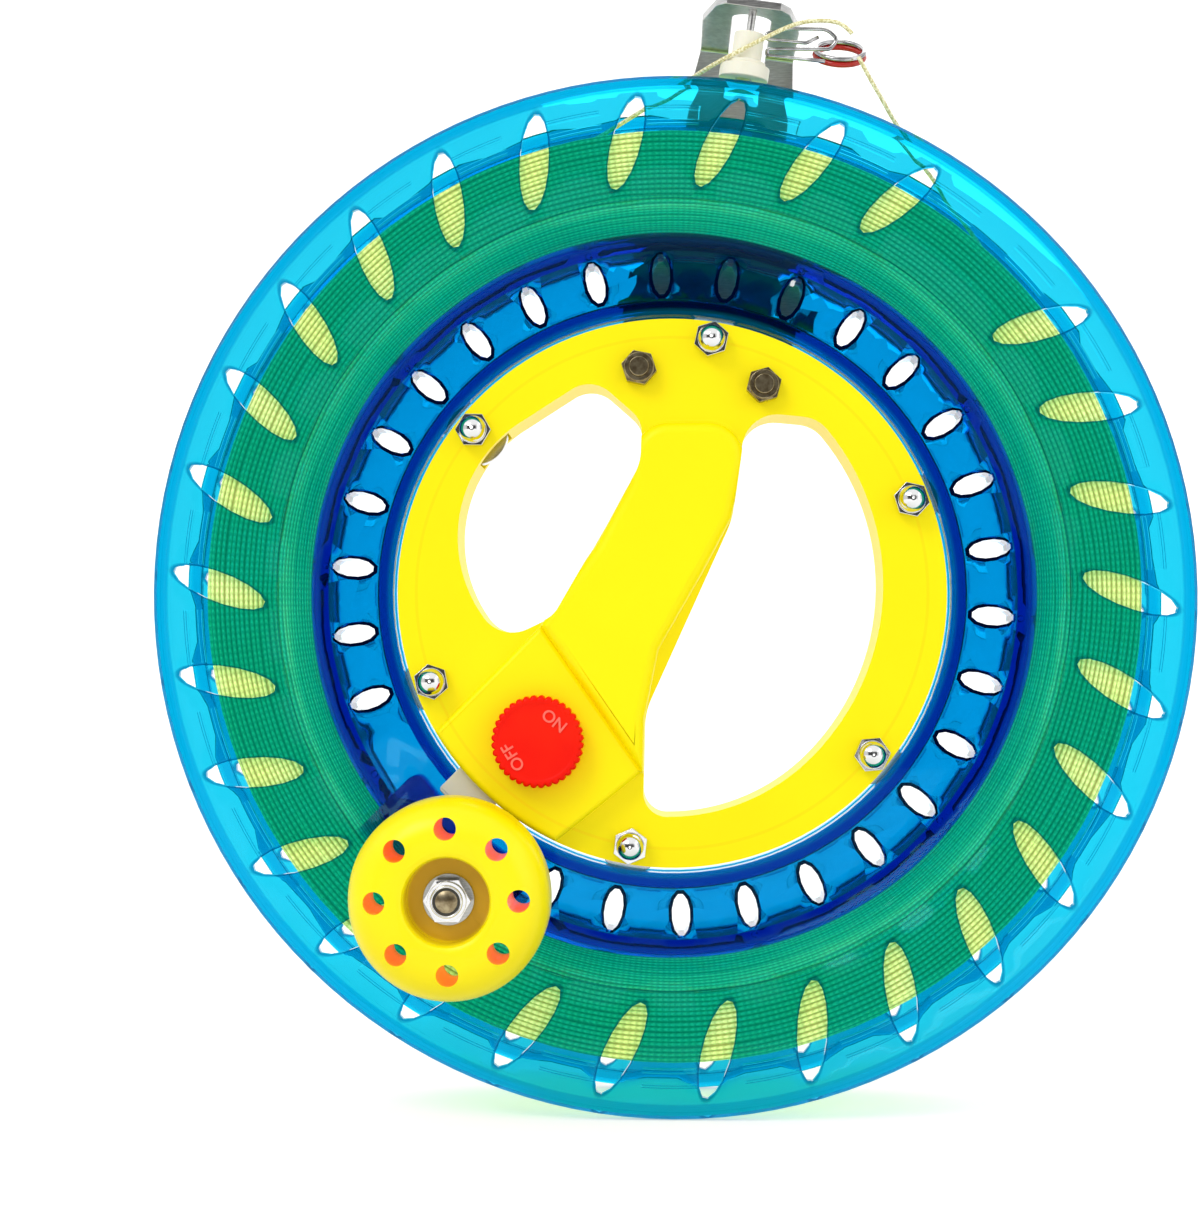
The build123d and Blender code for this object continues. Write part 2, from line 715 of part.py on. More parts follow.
# ---- line guide ------------------------------------------------------------
guide = Plane(origin=(0, 0, 0), x_dir=(sin(radians(bracket_turn)), 0, -cos(radians(bracket_turn))),
              z_dir=(0, -1, 0))
tongue_top = tongue_radius + bracket_thick
strip_back = bracket_depth - bracket_thick
side = Plane(origin=(0, 0, 0), x_dir=guide.y_dir, z_dir=guide.x_dir)
above = Plane(origin=(0, 0, 0), x_dir=guide.x_dir, z_dir=guide.y_dir)
with BuildPart() as line_guide_bracket:
    with BuildSketch(side) as bent_strip:
        with BuildLine():
            Polyline(
                (bracket_start, strip_back),
                (tongue_top, strip_back),
                (tongue_top, tongue_front),
                (tongue_radius, tongue_front),
                (tongue_radius, bracket_depth),
                (bracket_start, bracket_depth),
                close=True,
            )
        make_face()
        fillet(bent_strip.vertices().group_by(Axis.X)[-1].sort_by(Axis.Y)[0], radius=bend_radius)
        fillet(bent_strip.vertices().sort_by_distance((tongue_radius, bracket_depth))[0],
               radius=bend_radius - bracket_thick)
    extrude(amount=bracket_wide, both=True)
    with BuildSketch(guide.offset(strip_back - 1)) as strip_plan:
        with BuildLine():
            Polyline(
                (-bracket_wide, bracket_start),
                (bracket_wide, bracket_start),
                (bracket_wide, bracket_wide_end),
                (bracket_narrow, bracket_narrow_start),
                (bracket_narrow + 0.6, guide_slot_low),
                (bracket_neck, tongue_radius - 1),
                (bracket_neck, tongue_top + 1),
                (-bracket_neck, tongue_top + 1),
                (-bracket_neck, tongue_radius - 1),
                (-bracket_narrow - 0.6, guide_slot_low),
                (-bracket_narrow, bracket_narrow_start),
                (-bracket_wide, bracket_wide_end),
                close=True,
            )
        make_face()
        fillet(strip_plan.vertices().group_by(Axis.Y)[0], radius=4.0)
    extrude(amount=2 * rim_depth + 10, mode=Mode.INTERSECT)
    with BuildSketch(above):
        with BuildLine():
            Polyline(
                (-bracket_wide - 1, -strip_back + 1),
                (-bracket_wide - 1, -tongue_taper_start),
                (-bracket_neck, -tongue_taper_start),
                (-tongue_tip - 1.5, -tongue_front + 3.5),
                (-tongue_tip + 1.0, -tongue_front),
                (tongue_tip - 1.0, -tongue_front),
                (tongue_tip + 1.5, -tongue_front + 3.5),
                (bracket_neck, -tongue_taper_start),
                (bracket_wide + 1, -tongue_taper_start),
                (bracket_wide + 1, -strip_back + 1),
                close=True,
            )
        make_face()
    extrude(amount=tongue_top + 1, mode=Mode.INTERSECT)
    slot_long = guide_slot_front - strip_back - guide_slot / 2
    with BuildSketch(above.offset(tongue_radius - 1)):
        with Locations((0, -guide_slot_front + guide_slot / 2 + slot_long / 2 + 1)):
            Rectangle(guide_slot, slot_long + 2)
        with Locations((0, -guide_slot_front + guide_slot / 2)):
            Circle(guide_slot / 2)
    extrude(amount=bracket_thick + 2, mode=Mode.SUBTRACT)
    with BuildSketch(guide.offset(strip_back - 1)):
        with Locations((0, (guide_slot_low + tongue_top) / 2 + guide_slot / 2)):
            Rectangle(guide_slot, tongue_top - guide_slot_low)
        with Locations((0, guide_slot_low + guide_slot / 2)):
            Circle(guide_slot / 2)
    extrude(amount=bracket_thick + bend_radius, mode=Mode.SUBTRACT)
    with BuildSketch(above.offset(tongue_radius - 1)):
        with Locations((0, -roller_depth)):
            Circle(roller_pin_radius)
    extrude(amount=bracket_thick + 2, mode=Mode.SUBTRACT)
    with BuildSketch(facing(strip_back - 1)):
        with Locations(*spots(bracket_bolt_circle, post_turns)):
            Circle(hole_m5 / 2)
    extrude(amount=bracket_thick + 2, mode=Mode.SUBTRACT)
line_guide_bracket.part.label = "line_guide_bracket"


def guide_axis_plane(height):
    """Plane square to the roller's pin, a height out from the wheel's axis."""
    origin = guide.from_local_coords((0, height, roller_depth))
    return Plane(origin=origin, x_dir=guide.x_dir, z_dir=guide.y_dir)


pin_head_low = roller_low + 0.2
with BuildPart() as guide_roller_pin:
    with BuildSketch(guide_axis_plane(pin_head_low)):
        Circle(roller_pin_head)
    extrude(amount=1.0)
    with BuildSketch(guide_axis_plane(pin_head_low)):
        Circle(roller_pin_radius)
    extrude(amount=tongue_top - pin_head_low)
    with BuildSketch(guide_axis_plane(tongue_top)):
        Circle(roller_pin_head)
    extrude(amount=0.8)
guide_roller_pin.part.label = "guide_roller_pin"

with BuildPart() as guide_roller:
    with BuildSketch(guide_axis_plane(roller_low)):
        Circle(roller_flange_radius)
    extrude(amount=roller_flange_height)
    with BuildSketch(guide_axis_plane(roller_low)):
        Circle(roller_barrel_radius)
    extrude(amount=roller_height)
    with BuildSketch(guide_axis_plane(roller_low)):
        Circle(roller_pin_radius + running)
    extrude(amount=roller_height, mode=Mode.SUBTRACT)
    with BuildSketch(guide_axis_plane(roller_low)):
        Circle(roller_pin_head + body_gap)
    extrude(amount=1.2 + body_gap, mode=Mode.SUBTRACT)
    with BuildSketch(guide_axis_plane(roller_low + roller_flange_height - 1.2)):
        Circle(roller_flange_radius + 1)
        Circle(roller_flange_radius - 1.2, mode=Mode.SUBTRACT)
    extrude(amount=1.2, mode=Mode.SUBTRACT, taper=0)
guide_roller.part.label = "guide_roller"

with BuildPart() as bracket_bolts:
    with BuildSketch(facing(strip_back)):
        with Locations(*spots(bracket_bolt_circle, post_turns)):
            RegularPolygon(key_m5 / 2, 6, major_radius=False)
    extrude(amount=-head_m5)
    with BuildSketch(facing(strip_back)):
        with Locations(*spots(bracket_bolt_circle, post_turns)):
            Circle(bolt_m5 / 2)
    extrude(amount=plate_front - strip_back + 6.3)
bracket_bolts.part.label = "bracket_bolts"

with BuildPart() as bracket_lock_nuts:
    with BuildSketch(facing(plate_front)):
        with Locations(*spots(bracket_bolt_circle, post_turns)):
            RegularPolygon(key_m5 / 2, 6, major_radius=False, rotation=10)
    extrude(amount=3.8)
    with BuildSketch(facing(plate_front)):
        with Locations(*spots(bracket_bolt_circle, post_turns)):
            Circle(key_m5 / 2 - 0.3)
    extrude(amount=5.2)
    with BuildSketch(facing(plate_front)):
        with Locations(*spots(bracket_bolt_circle, post_turns)):
            Circle(bolt_m5 / 2)
    extrude(amount=6, mode=Mode.SUBTRACT)
bracket_lock_nuts.part.label = "bracket_lock_nuts"

# ---- snap, rings and the line's free ends ---------------------------------
ring_centre = Vector(44.0, -13.2, 138.6)
ring_normal = Vector(0.05, -0.6, 0.87).normalized()


def tube(points, radii, diameter, sides=0):
    with BuildPart() as run:
        with BuildLine() as route:
            FilletPolyline(*points, radius=radii)
        with BuildSketch(Plane(origin=points[0], z_dir=Vector(*points[1]) - Vector(*points[0]))):
            if sides:
                RegularPolygon(diameter / 2, sides)
            else:
                Circle(diameter / 2)
        sweep(path=route.wires()[0])
    return run


def cord_radii(points):
    """Each arc is as large as its two runs allow."""
    radii = []
    for before, here, after in zip(points, points[1:], points[2:]):
        one = Vector(*here) - Vector(*before)
        two = Vector(*after) - Vector(*here)
        turn = radians(one.get_angle(two))
        radii.append(0.45 * min(one.length, two.length) / tan(turn / 2))
    return radii


lead_points = [
    (-25.1, -2.0, 115.2), (-17.0, -4.4, 119.2), (-8.6, -8.0, 123.6), (-0.8, -12.0, 127.6),
    (6.0, -16.4, 131.2), (11.6, -21.2, 133.6), (17.3, -25.5, 135.6), (25.2, -25.3, 139.6),
    (30.2, -22.6, 142.6), (34.2, -20.4, 144.4), (38.4, -19.2, 145.0), (42.2, -19.4, 144.7),
    (45.0, -19.9, 143.3), (46.6, -20.2, 141.3),
]
tail_points = [
    (48.2, -20.0, 135.3), (51.0, -18.6, 130.2), (54.2, -17.0, 125.2), (57.3, -15.4, 119.8),
    (61.2, -13.6, 114.6), (64.6, -11.8, 109.2), (68.6, -10.2, 104.2), (72.0, -8.8, 99.0),
    (76.0, -7.6, 94.2), (79.6, -6.8, 89.2), (82.8, -6.2, 84.2),
]
lead_radii = cord_radii(lead_points)
tail_radii = cord_radii(tail_points)
print("lead radii", [round(r, 1) for r in lead_radii])
print("tail radii", [round(r, 1) for r in tail_radii])
line_lead = tube(lead_points, lead_radii, line_diameter, 8)
line_lead.part.label = "line_lead"
line_tail = tube(tail_points, tail_radii, line_diameter, 8)
line_tail.part.label = "line_tail"

with BuildPart() as snap_ring:
    with BuildSketch(Plane(origin=ring_centre, x_dir=(1, 0, 0), z_dir=ring_normal)
                     * Plane.XZ):
        with Locations((ring_radius, 0)):
            RegularPolygon(ring_wire / 2, 8)
    revolve(axis=Axis(ring_centre, ring_normal))
snap_ring.part.label = "snap_ring"

red_centre = ring_centre + ring_normal * -((ring_wire + red_wire) / 2)
with BuildPart() as red_ring:
    with BuildSketch(Plane(origin=red_centre, x_dir=(1, 0, 0), z_dir=ring_normal)
                     * Plane.XZ):
        with Locations((ring_radius, 0)):
            RegularPolygon(red_wire / 2, 8)
    revolve(axis=Axis(red_centre, ring_normal))
red_ring.part.label = "red_ring"

snap_depth = 18.5
snap_outline = [
    (39.8, 134.6), (25.0, 136.3), (25.0, 137.9), (41.0, 137.7), (43.2, 140.2), (40.4, 142.9),
    (31.0, 143.2), (25.0, 142.0), (25.0, 140.5), (35.0, 139.4), (38.2, 140.9),
]
snap_points = [(x, -snap_depth, z) for x, z in snap_outline]
snap_rounds = [0.75, 0.75, 1.5, 1.5, 4.0, 3.0, 0.7, 0.7, 1.2]
snap_hook = tube(snap_points, snap_rounds, snap_wire, 6)
snap_hook.part.label = "snap_hook"

# ---- write the pieces ------------------------------------------------------
pieces = [
    wheel_front_half, wheel_rear_half, line_core, line_winding, front_hub_plate, rear_hub_plate,
    bearing_inner_races, hub_bolts, acorn_nuts, crank_stud, crank_sleeve, crank_washer,
    crank_lock_nut, crank_knob, brake_block, brake_insert, brake_screw, brake_knob,
    line_guide_bracket, guide_roller_pin, guide_roller, bracket_bolts, bracket_lock_nuts,
    line_lead, line_tail, snap_ring, red_ring, snap_hook,
] + bearings
for piece in pieces:
    export_step(piece.part, "parts/%s.step" % piece.part.label)
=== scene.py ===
import math

import bmesh
import bpy
import numpy as np
from mathutils import Matrix, Vector


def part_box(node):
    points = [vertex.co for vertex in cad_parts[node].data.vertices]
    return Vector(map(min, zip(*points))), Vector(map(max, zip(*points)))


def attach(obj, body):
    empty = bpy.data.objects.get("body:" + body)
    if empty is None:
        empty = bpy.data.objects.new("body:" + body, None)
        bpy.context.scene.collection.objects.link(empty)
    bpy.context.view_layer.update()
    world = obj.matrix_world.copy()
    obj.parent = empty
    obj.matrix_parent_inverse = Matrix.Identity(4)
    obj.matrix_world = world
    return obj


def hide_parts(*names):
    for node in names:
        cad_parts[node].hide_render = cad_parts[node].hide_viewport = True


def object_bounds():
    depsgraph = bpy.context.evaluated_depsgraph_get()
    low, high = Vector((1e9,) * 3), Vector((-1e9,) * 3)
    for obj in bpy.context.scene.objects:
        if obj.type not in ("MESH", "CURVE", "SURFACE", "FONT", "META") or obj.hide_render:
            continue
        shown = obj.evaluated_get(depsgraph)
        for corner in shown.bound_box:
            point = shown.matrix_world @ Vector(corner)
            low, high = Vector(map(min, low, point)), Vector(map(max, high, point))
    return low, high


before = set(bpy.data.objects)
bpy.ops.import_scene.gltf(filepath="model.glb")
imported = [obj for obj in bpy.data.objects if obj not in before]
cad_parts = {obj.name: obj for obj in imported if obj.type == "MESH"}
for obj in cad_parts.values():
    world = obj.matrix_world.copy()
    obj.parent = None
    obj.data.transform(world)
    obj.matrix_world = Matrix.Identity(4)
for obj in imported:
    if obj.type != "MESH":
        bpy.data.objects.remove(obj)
cad_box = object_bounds()

# ---- studio ----------------------------------------------------------------
# A white sheet that runs from the table up behind the winder, a large soft lamp
# high in front on the left, and the camera low in front, looking slightly up.
scene = bpy.context.scene
scene.view_settings.view_transform = "Standard"
camera_data = bpy.data.cameras.new("camera")
camera = bpy.data.objects.new("camera", camera_data)
scene.collection.objects.link(camera)
camera_data.sensor_fit = "VERTICAL"
camera_data.sensor_height = 36.0
camera_data.lens = 36.0 * 2515.97 / 1216.0
camera_data.shift_x = 0.0341
camera_data.shift_y = -0.1080
camera_data.clip_start = 0.01
right = Vector((0.999103, 0.042323, -0.001475))
forward = Vector((-0.042105, 0.996483, 0.072453))
up = Vector((0.004537, -0.072326, 0.997371))
camera.matrix_world = Matrix((
    (right.x, up.x, -forward.x, -0.001520),
    (right.y, up.y, -forward.y, -0.652435),
    (right.z, up.z, -forward.z, -0.017293),
    (0, 0, 0, 1)))
scene.camera = camera


class Sock:
    """One output of a node, or a plain number, that can stand in sums and products.
    Every operator adds the one Math node that works it out."""

    def __init__(self, tree, socket):
        self.tree = tree
        self.socket = socket

    def put(self, kind, *others):
        math_node = self.tree.nodes.new("ShaderNodeMath")
        math_node.operation = kind
        for place, value in enumerate(others):
            if isinstance(value, Sock):
                self.tree.links.new(value.socket, math_node.inputs[place])
            else:
                math_node.inputs[place].default_value = value
        return Sock(self.tree, math_node.outputs[0])

    def __add__(self, other): return self.put("ADD", self, other)
    def __radd__(self, other): return self.put("ADD", other, self)
    def __sub__(self, other): return self.put("SUBTRACT", self, other)
    def __rsub__(self, other): return self.put("SUBTRACT", other, self)
    def __mul__(self, other): return self.put("MULTIPLY", self, other)
    def __rmul__(self, other): return self.put("MULTIPLY", other, self)
    def __truediv__(self, other): return self.put("DIVIDE", self, other)
    def __lt__(self, other): return self.put("LESS_THAN", self, other)
    def __gt__(self, other): return self.put("GREATER_THAN", self, other)
    def sin(self): return self.put("SINE", self)
    def root(self): return self.put("SQRT", self)
    def size(self): return self.put("ABSOLUTE", self)
    def wrap(self, low, high): return self.put("WRAP", self, high, low)
    def turn(self, other): return self.put("ARCTAN2", self, other)

    def step(self, low, high):
        """Rises smoothly from 0 where the value is low to 1 where it is high."""
        ramp = self.tree.nodes.new("ShaderNodeMapRange")
        ramp.interpolation_type = "SMOOTHSTEP"
        self.tree.links.new(self.socket, ramp.inputs["Value"])
        ramp.inputs["From Min"].default_value = low
        ramp.inputs["From Max"].default_value = high
        return Sock(self.tree, ramp.outputs[0])


class Finish:
    """One material with a Principled shader. node() adds any other node: its type, its
    settings, and the values or links of its inputs by name or number."""

    def __init__(self, name, **values):
        self.material = bpy.data.materials.new(name)
        self.material.use_nodes = True
        self.tree = self.material.node_tree
        self.shader = self.tree.nodes["Principled BSDF"]
        self.out = self.tree.nodes["Material Output"]
        self.object = self.node("ShaderNodeTexCoord", {}, {}, "Object")
        for key, value in values.items():
            self.set(key.replace("_", " "), value)

    def set(self, key, value):
        if isinstance(value, Sock):
            self.tree.links.new(value.socket, self.shader.inputs[key])
        else:
            self.shader.inputs[key].default_value = value

    def node(self, kind, settings, values, out=0):
        made = self.tree.nodes.new(kind)
        for key, value in settings.items():
            setattr(made, key, value)
        for key, value in values.items():
            if isinstance(value, Sock):
                self.tree.links.new(value.socket, made.inputs[key])
            else:
                made.inputs[key].default_value = value
        return Sock(self.tree, made.outputs[out])

    def place(self):
        """The three object coordinates in metres, each as a number."""
        split = self.tree.nodes.new("ShaderNodeSeparateXYZ")
        self.tree.links.new(self.object.socket, split.inputs[0])
        return [Sock(self.tree, split.outputs[k]) for k in range(3)]

    def noise(self, scale, detail=2.0, rough=0.5, stretch=None):
        where = self.object
        if stretch:
            where = self.node("ShaderNodeMapping", {}, {"Vector": self.object, "Scale": stretch})
        return self.node("ShaderNodeTexNoise", {}, {"Vector": where, "Scale": scale, "Detail": detail,
                                                    "Roughness": rough})

    def mottled(self, dark, light, scale, detail=2.0, rough=0.5, span=None):
        """A colour that a noise moves from dark to light. A span stretches the noise first."""
        cloud = self.noise(scale, detail, rough)
        return self.mix(cloud.step(*span) if span else cloud, (*dark, 1), (*light, 1))

    def mix(self, factor, one, two):
        return self.node("ShaderNodeMix", {"data_type": "RGBA"}, {0: factor, 6: one, 7: two}, 2)

    def relief(self, height, distance, strength=1.0):
        """Turns a height, one unit to each distance in metres, into the surface's normal."""
        self.set("Normal", self.node("ShaderNodeBump", {}, {"Height": height, "Distance": distance,
                                                            "Strength": strength}))


def patch(name, points, wrap_u=False, wrap_v=False, caps=False):
    """A mesh from a grid of points, rows by columns by xyz. Each cell between two rows
    and two columns is a four-sided face, and wrap joins the last row or column to the first."""
    points = np.asarray(points, float)
    rows, columns = points.shape[:2]
    row = np.arange(rows if wrap_u else rows - 1)[:, None]
    column = np.arange(columns if wrap_v else columns - 1)[None, :]
    next_row, next_column = (row + 1) % rows, (column + 1) % columns
    corners = np.stack([row * columns + column, next_row * columns + column,
                        next_row * columns + next_column, row * columns + next_column], -1)
    faces = corners.reshape(-1, 4).tolist()
    if caps:
        faces.append(list(range(columns)))
        faces.append(list(range(rows * columns - 1, (rows - 1) * columns - 1, -1)))
    mesh = bpy.data.meshes.new(name)
    mesh.from_pydata(points.reshape(-1, 3).tolist(), [], faces)
    mesh.update()
    piece = bpy.data.objects.new(name, mesh)
    scene.collection.objects.link(piece)
    mesh.polygons.foreach_set("use_smooth", [True] * len(mesh.polygons))
    return piece


def outward(piece):
    """Merges doubled points and turns every face of a closed piece outwards."""
    work = bmesh.new()
    work.from_mesh(piece.data)
    bmesh.ops.remove_doubles(work, verts=work.verts, dist=1e-7)
    bmesh.ops.recalc_face_normals(work, faces=work.faces)
    work.to_mesh(piece.data)
    work.free()
    return piece


sheet_along = np.linspace(-1.0, 1.0, 9)
sheet_run = np.concatenate([[-2.0], np.linspace(-1.5, 0.6, 8),
                            0.6 + 0.5 * np.sin(np.linspace(0.1, math.pi / 2, 12)), [1.1, 1.1]])
sheet_rise = np.concatenate([np.zeros(9), 0.5 - 0.5 * np.cos(np.linspace(0.1, math.pi / 2, 12)),
                             [1.2, 2.4]])
floor_level = cad_box[0].z - 0.0002
floor = patch("floor", [[(2.4 * s, y, floor_level + z) for s in sheet_along]
                        for y, z in zip(sheet_run, sheet_rise)])
paper = Finish("white_paper", Roughness=0.9)
light_path = paper.tree.nodes.new("ShaderNodeLightPath")
seen = Sock(paper.tree, light_path.outputs["Is Camera Ray"])
glossy = Sock(paper.tree, light_path.outputs["Is Glossy Ray"])
through = Sock(paper.tree, light_path.outputs["Is Transmission Ray"])
paper.set("Base Color", (0.80, 0.80, 0.80, 1))
paper.set("Specular IOR Level", 0.1)
paper.set("Emission Color", (1.0, 1.0, 1.0, 1))
direct = seen.put("MAXIMUM", seen, through.put("MAXIMUM", through, glossy))
paper.set("Emission Strength", direct * 0.42)
floor.data.materials.append(paper.material)

world = bpy.data.worlds.new("studio")
scene.world = world
world.use_nodes = True
background = world.node_tree.nodes["Background"]
background.inputs["Color"].default_value = (1, 1, 1, 1)
# bright white for the light itself, but what glossy faces mirror is a dark room with a
# soft box overhead and a window on each side
sky_way = world.node_tree.nodes.new("ShaderNodeTexCoord")
sky_parts = world.node_tree.nodes.new("ShaderNodeSeparateXYZ")
world.node_tree.links.new(sky_way.outputs["Generated"], sky_parts.inputs[0])
sky_path = world.node_tree.nodes.new("ShaderNodeLightPath")
mirrored = Sock(world.node_tree, sky_path.outputs["Is Glossy Ray"])
overhead = Sock(world.node_tree, sky_parts.outputs[2]).step(0.35, 0.60)
window = Sock(world.node_tree, sky_parts.outputs[0]).size().step(0.62, 0.80)
room = overhead * 1.15 + window * 0.8 + 0.07
world.node_tree.links.new((mirrored * (room - 0.92) + 0.92).socket, background.inputs["Strength"])


def lamp(name, place, aim, size, power):
    """A square soft lamp at place that points at aim."""
    data = bpy.data.lights.new(name, "AREA")
    data.shape = "SQUARE"
    data.size = size
    data.energy = power
    made = bpy.data.objects.new(name, data)
    scene.collection.objects.link(made)
    made.location = place
    made.rotation_euler = (Vector(aim) - Vector(place)).to_track_quat("-Z", "Y").to_euler()
    return made


lamp("key_lamp", (-0.75, -1.1, 1.05), (0, 0, 0), 0.7, 7.0)
lamp("fill_lamp", (1.1, -0.9, 0.35), (0, 0, 0), 0.9, 2.0)
lamp("back_lamp", (0.25, 0.85, 0.75), (0, 0, 0), 0.9, 3.0)

# ---- clear wheel halves ------------------------------------------------------
# Two injection moulded halves of clear blue acrylic, pressed together with pins
# in the middle ring. Their flanges show the line through them.


def dressed(node, name, body, finish, angle=32.0, bevel=0.0, cut=2):
    """A merged, smoothly shaded copy of one of the frame's nodes that stands in for it.
    Edges sharper than the angle stay sharp, and a bevel rounds them by its width."""
    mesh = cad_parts[node].data.copy()
    mesh.name = name
    work = bmesh.new()
    work.from_mesh(mesh)
    bmesh.ops.remove_doubles(work, verts=work.verts, dist=2e-6)
    if bevel:
        bmesh.ops.dissolve_limit(work, angle_limit=math.radians(1.0), verts=work.verts, edges=work.edges)
    work.to_mesh(mesh)
    work.free()
    mesh.materials.clear()
    mesh.materials.append(finish.material)
    piece = bpy.data.objects.new(name, mesh)
    scene.collection.objects.link(piece)
    mesh.polygons.foreach_set("use_smooth", [True] * len(mesh.polygons))
    mesh.set_sharp_from_angle(angle=math.radians(angle))
    if bevel:
        rounded = piece.modifiers.new("rounded", "BEVEL")
        rounded.width = bevel
        rounded.segments = cut
        rounded.limit_method = "ANGLE"
        rounded.angle_limit = math.radians(angle)
        rounded.harden_normals = True
    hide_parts(node)
    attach(piece, body)
    return piece


clear_blue = Finish("clear_blue_acrylic", Roughness=0.0, IOR=1.24)
clear_blue.set("Transmission Weight", 1.0)
clear_blue.set("Specular IOR Level", 0.5)
clear_blue.set("Specular Tint", (0.10, 0.80, 1.0, 1))
clear_blue.set("Coat Weight", 0.08)
clear_blue.set("Coat Roughness", 0.04)
clear_blue.set("Coat IOR", 1.45)
tint = clear_blue.tree.nodes.new("ShaderNodeVolumeAbsorption")
tint.inputs["Color"].default_value = (0.0, 0.862, 0.955, 1)
tint.inputs["Density"].default_value = 1800.0
clear_blue.tree.links.new(tint.outputs[0], clear_blue.out.inputs["Volume"])
slot_pitch = 12.0          # degrees from slot to slot
slot_circle = 113.8        # mm
slot_half_length, slot_half_width = 12.3, 3.7
slot_lean = math.radians(-20.5)
plain_place = 50.0         # degrees: no slot here
ridge = 99.4               # mm: where the flange's cone meets its flat
web_edge, ring_edge = 73.2, 88.2
x, y, z = clear_blue.place()
reach = (x * x + z * z).root() * 1000.0
around = z.turn(x) * (180.0 / math.pi)
# raised arc bands between the slots, their ends a few degrees from each slot
beat = (around + 0.5 + 360.0).wrap(0.0, slot_pitch)
from_slot = (beat - slot_pitch / 2).size()
band_end = 1.0 - from_slot.step(3.0, 3.35)
outer_band = reach.step(118.2, 118.35) * (1.0 - reach.step(122.6, 122.75)) * band_end
inner_band = reach.step(119.1, 119.25) * (1.0 - reach.step(122.0, 122.15)) * band_end
rim_lines = 0.0
for circle in (126.5, 127.2, 128.0, 128.9):
    rim_lines = ((reach - circle).size() < 0.12) + rim_lines
ridge_lines = ((reach - ridge).size() < 0.12) + ((reach - ridge - 0.7).size() < 0.10)
# painted shade: faces that stand edge-on across the wheel's axis, beyond 73.5 mm, are darkened in the
# colour below
normal = clear_blue.tree.nodes.new("ShaderNodeSeparateXYZ")
facing = clear_blue.node("ShaderNodeNewGeometry", {}, {}, "Normal")
clear_blue.tree.links.new(facing.socket, normal.inputs[0])
edge_on = 1.0 - Sock(clear_blue.tree, normal.outputs[1]).size().step(0.15, 0.6)
cut_edge_shade = edge_on * reach.step(73.5, 74.0)
# how far the place is from the nearest slot's middle, along and across the leaning slot
nearest = ((around + 366.5).wrap(0.0, slot_pitch) - slot_pitch / 2) * (math.pi / 180.0)
out_way = reach * nearest.put("COSINE", nearest) - slot_circle
side_way = reach * nearest.sin()
lean_cos, lean_sin = math.cos(slot_lean), math.sin(slot_lean)
slot_long = (out_way * lean_cos + side_way * lean_sin) / slot_half_length
slot_wide = (side_way * lean_cos - out_way * lean_sin) / slot_half_width
slot_edge = (slot_long * slot_long + slot_wide * slot_wide).root()
has_slot = (around - plain_place).size() > 5.5
# painted shade: a dark line round each slot beyond 101 mm, and none at the plain place
slot_outline_shade = (1.0 - slot_edge.step(1.03, 1.13)) * slot_edge.step(0.90, 0.96) * has_slot
slot_outline_shade = slot_outline_shade * reach.step(101.0, 102.0)
# painted shade: dark lines along the ridge and along the bands' outer edge
ridge_line_shade = (reach - ridge).size() < 0.14
band_line_shade = ((reach - 122.7).size() < 0.09) * band_end
# these dark lines are painted shade in the plastic's colour, standing in for the dark edges that
# refraction gives
painted_edge_shade = cut_edge_shade * 0.28 + slot_outline_shade * 0.75 + ridge_line_shade * 0.8 + band_line_shade * 0.5
web_zone = (1.0 - reach.step(ring_edge, ring_edge + 0.4)) * reach.step(web_edge, web_edge + 0.4)
ring_zone = reach.step(ring_edge, ring_edge + 0.4) * (1.0 - reach.step(91.2, 92.0))
zones = clear_blue.mix(web_zone, (0.60, 0.78, 0.78, 1), (0.33, 0.77, 0.85, 1))
zones = clear_blue.mix(ring_zone, zones, (0.30, 0.50, 0.86, 1))
clear_blue.set("Base Color", clear_blue.mix(painted_edge_shade.put("MINIMUM", painted_edge_shade, 0.9), zones, (0.0, 0.16, 0.34, 1)))
# painted light: the plastic glows a little though it is no lamp, most where it lies over the pack
painted_light_over_pack = clear_blue.mix(reach.step(91.5, 93.0), (0.0, 0.02, 0.08, 1), (0.0, 0.70, 0.58, 1))
clear_blue.set("Emission Color", clear_blue.mix(reach.step(73.0, 73.4), (0.0, 0.55, 0.60, 1), painted_light_over_pack))
clear_blue.set("Emission Strength", 0.06)
swirl = clear_blue.noise(38.0, 2.0, 0.5)
bands = outer_band + inner_band * 0.6 + rim_lines * 0.7 + ridge_lines * 0.6
clear_blue.relief(bands + swirl * 0.12, 0.00022, 0.8)

# the two halves' touching faces are set 0.08 mm apart, so that they don't lie in one plane
for node, name, side in (("wheel_front_half", "clear_front_half", -1),
                         ("wheel_rear_half", "clear_rear_half", 1)):
    half = dressed(node, name, "wheel", clear_blue, 26.0)
    points = np.zeros(len(half.data.vertices) * 3)
    half.data.vertices.foreach_get("co", points)
    points = points.reshape(-1, 3)
    joint_face = np.abs(points[:, 1]) < 1e-5
    points[joint_face, 1] = side * 4e-5
    half.data.vertices.foreach_set("co", points.ravel())
    half.data.update()

# ---- wound line ----------------------------------------------------------------
# Several hundred metres of thin braided polyester line, laid on the wheel turn by
# turn. The sides of the pack lie against the flanges, and only its outer turns are loose.
kite_line = Finish("braided_line", Roughness=0.62)
grain = kite_line.noise(2600.0, 1.0, 0.6)
tone = kite_line.noise(42.0, 2.0, 0.6)
crest = kite_line.node("ShaderNodeAttribute", {"attribute_name": "crest"}, {}, "Fac")
lit = kite_line.mix(tone.step(0.35, 0.7), (0.92, 0.76, 0.28, 1), (0.96, 0.82, 0.42, 1))
fleck = grain.step(0.42, 0.62) * 0.30
x, y, z = kite_line.place()
line_reach = (x * x + z * z).root() * 1000.0
